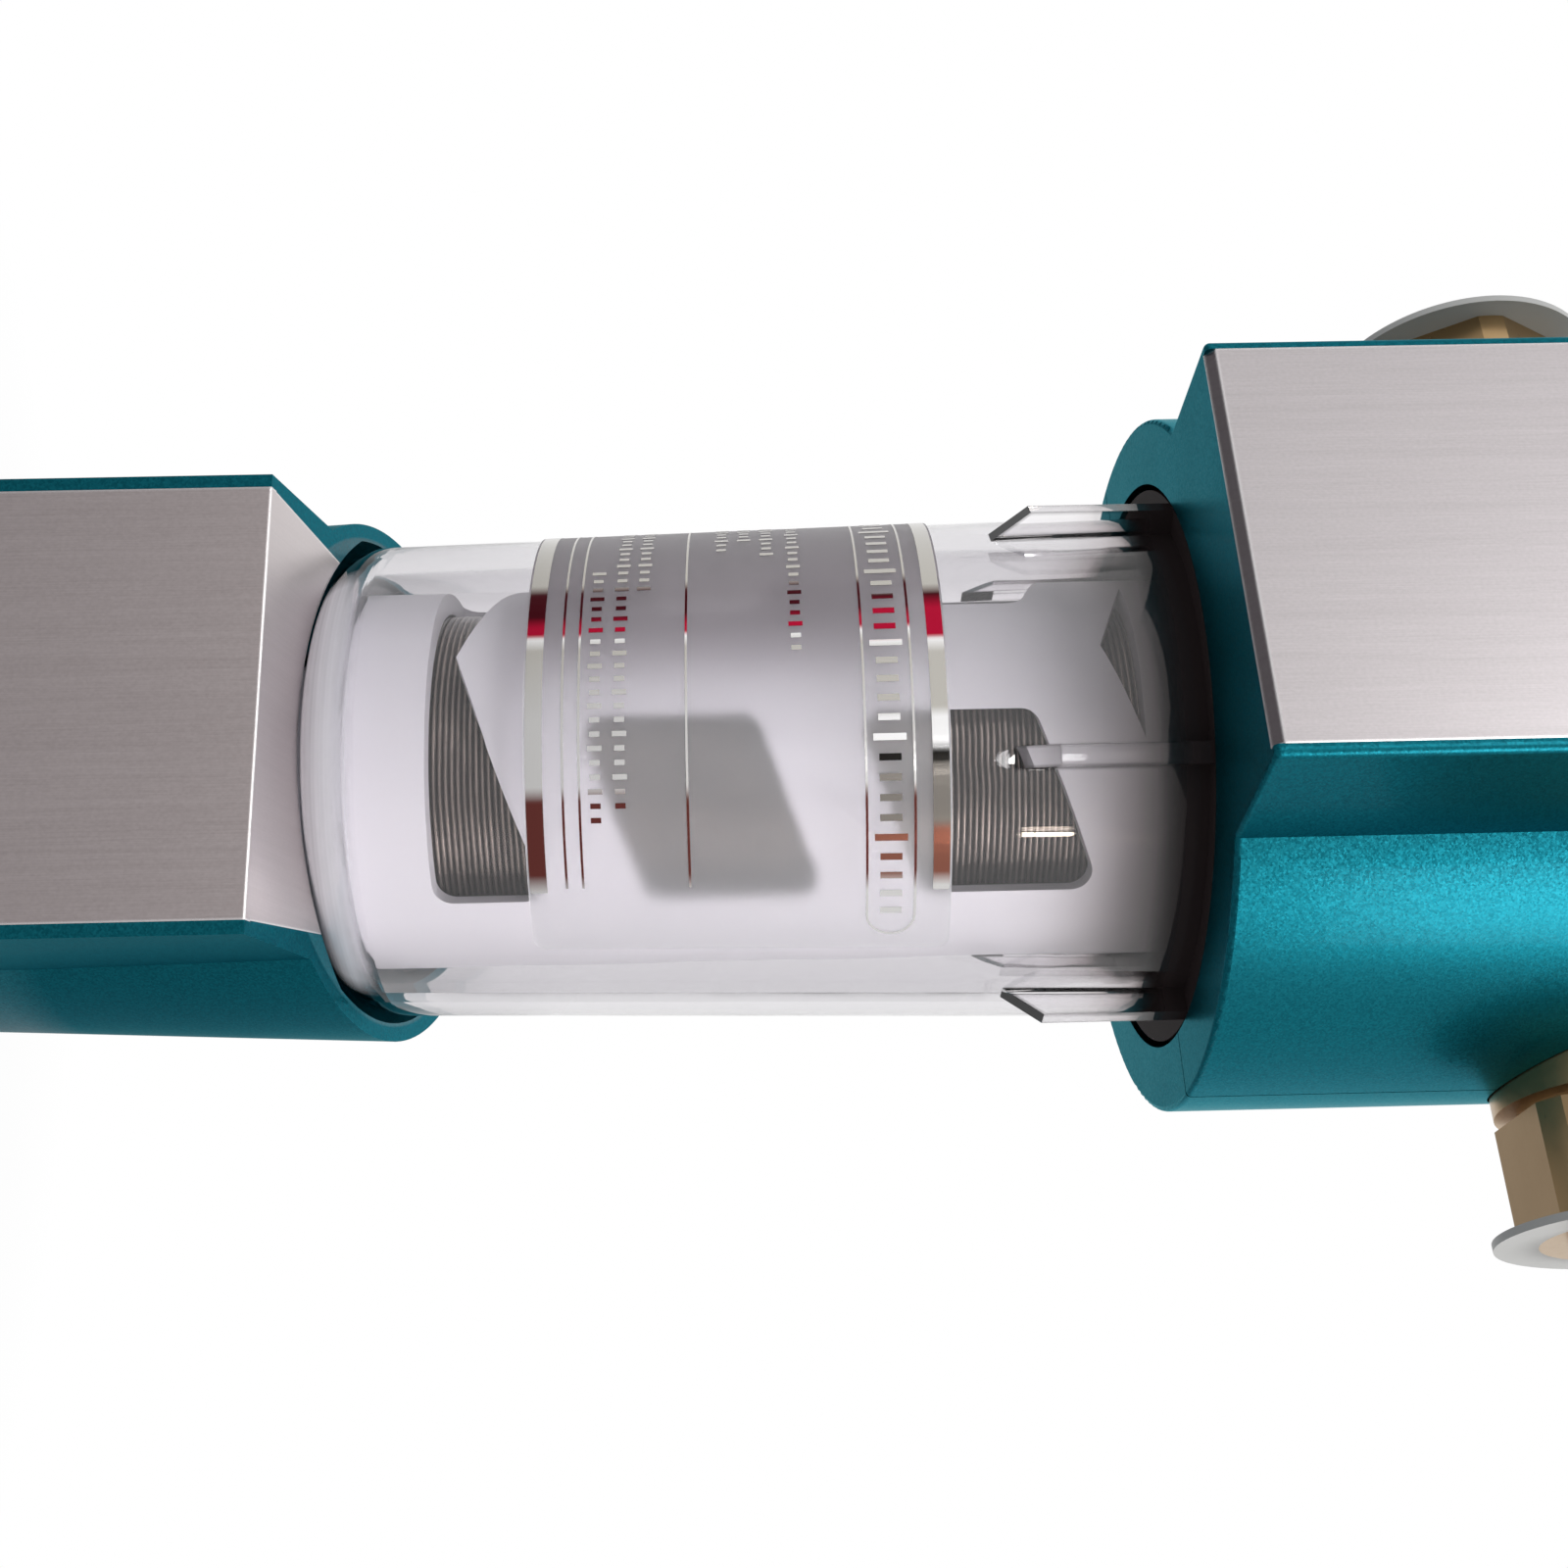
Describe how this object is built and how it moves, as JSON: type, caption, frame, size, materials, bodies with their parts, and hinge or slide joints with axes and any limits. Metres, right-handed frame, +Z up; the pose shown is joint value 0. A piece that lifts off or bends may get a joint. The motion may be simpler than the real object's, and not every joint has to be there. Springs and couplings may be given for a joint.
{
  "type": "spin-down sediment filter",
  "caption": "Whole-house spin-down sediment filter with a clear cup, slotted cage and wire screen, side pipe unions and a lever drain valve below.",
  "frame": {"origin": "centre of the drain spout's mouth", "axes": "+Z up the cup axis, -Y the side with the front plates, +X along the pipe towards the outlet"},
  "size_m": [0.176, 0.1243, 0.347],
  "materials": {
    "teal_paint": "metallic gloss paint",
    "head_plate": "brushed",
    "base_plate": "brushed",
    "brass": "turned",
    "pale_plastic": "matte",
    "clear_cup": "clear gloss",
    "cage_plastic": "satin",
    "wire_screen": "fine wire",
    "label_film": "frosted film with bright stripes",
    "rubber": "matte",
    "seat_plastic": "smooth",
    "steel": "satin",
    "lever_sleeve": "matte"
  },
  "bodies": {
    "filter": {"head_front_shell": "teal_paint", "head_rear_shell": "teal_paint", "head_front_plate": "head_plate", "head_screws": "steel", "cup_socket": "pale_plastic", "pipe_tee": "brass", "inlet_gasket": "rubber", "outlet_gasket": "rubber", "inlet_tail": "brass", "outlet_tail": "brass", "cup": "clear_cup", "cup_o_ring": "rubber", "filter_cage": "cage_plastic", "cage_seal": "rubber", "screen": "wire_screen", "screen_lower_cap": "cage_plastic", "screen_upper_cap": "cage_plastic", "label": "label_film", "base_shell": "teal_paint", "base_front_plate": "base_plate", "valve_body": "brass", "valve_gasket": "rubber", "valve_upper_seat": "seat_plastic", "valve_lower_seat": "seat_plastic", "stem_packing": "rubber", "drain_spout": "brass", "spout_gasket": "rubber"},
    "lever": {"drain_lever": "steel", "lever_grip": "lever_sleeve", "lever_nut": "steel", "valve_stem": "steel", "valve_ball": "steel"},
    "inlet_union": {"inlet_nut": "brass", "inlet_nut_ring": "pale_plastic"},
    "outlet_union": {"outlet_nut": "brass", "outlet_nut_ring": "pale_plastic"}
  },
  "joints": [
    {"name": "drain_turn", "type": "hinge", "parent": "filter", "child": "lever", "pos_m": [0, 0, 0.035], "axis": [-0.1874, 0.9823, 0], "range_deg": [0, 90]},
    {"name": "inlet_union_turn", "type": "hinge", "parent": "filter", "child": "inlet_union", "pos_m": [-0.07, 0, 0.303], "axis": [-1, 0, 0], "continuous": true},
    {"name": "outlet_union_turn", "type": "hinge", "parent": "filter", "child": "outlet_union", "pos_m": [0.07, 0, 0.303], "axis": [1, 0, 0], "continuous": true}
  ]
}
